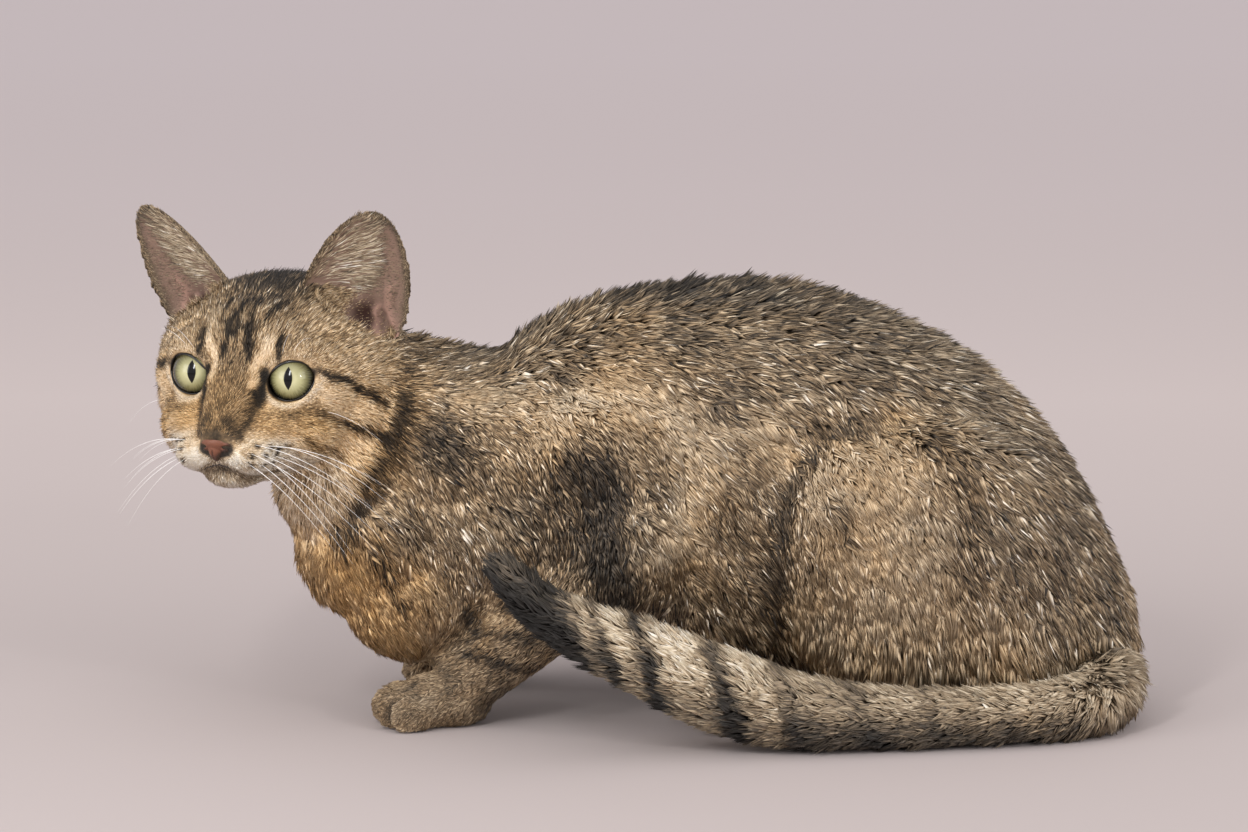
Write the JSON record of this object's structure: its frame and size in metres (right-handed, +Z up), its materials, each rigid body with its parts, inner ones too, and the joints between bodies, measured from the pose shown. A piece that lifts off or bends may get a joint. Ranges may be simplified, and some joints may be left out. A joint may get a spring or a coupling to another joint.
{
  "type": "domestic shorthair cat",
  "caption": "Life-size still model of a short-haired tabby cat crouching on the floor, head turned to its left and tail laid forward along its side.",
  "frame": {"origin": "on the floor under the middle of the cat's box", "axes": "+X towards the cat's rump, -X the way its body points, -Y its left side, where the face and the tail are, +Z up"},
  "size_m": [0.4688, 0.2076, 0.2401],
  "materials": {
    "coat": "short tabby fur",
    "ear": "thin skin under sparse short fur",
    "nose_leather": "fine-grained, slightly damp",
    "eye": "polished, pale green with a slit pupil"
  },
  "bodies": {
    "root": {"torso": "coat", "neck": "coat", "head": "coat", "nose": "nose_leather", "ear_left": "ear", "ear_right": "ear", "eye_left": "eye", "eye_right": "eye", "foreleg_left": "coat", "forepaw_left": "coat", "hindleg_left": "coat", "hindfoot_left": "coat", "foreleg_right": "coat", "forepaw_right": "coat", "hindleg_right": "coat", "hindfoot_right": "coat", "tail_base": "coat", "tail_middle": "coat", "tail_tip": "coat"}
  },
  "joints": []
}
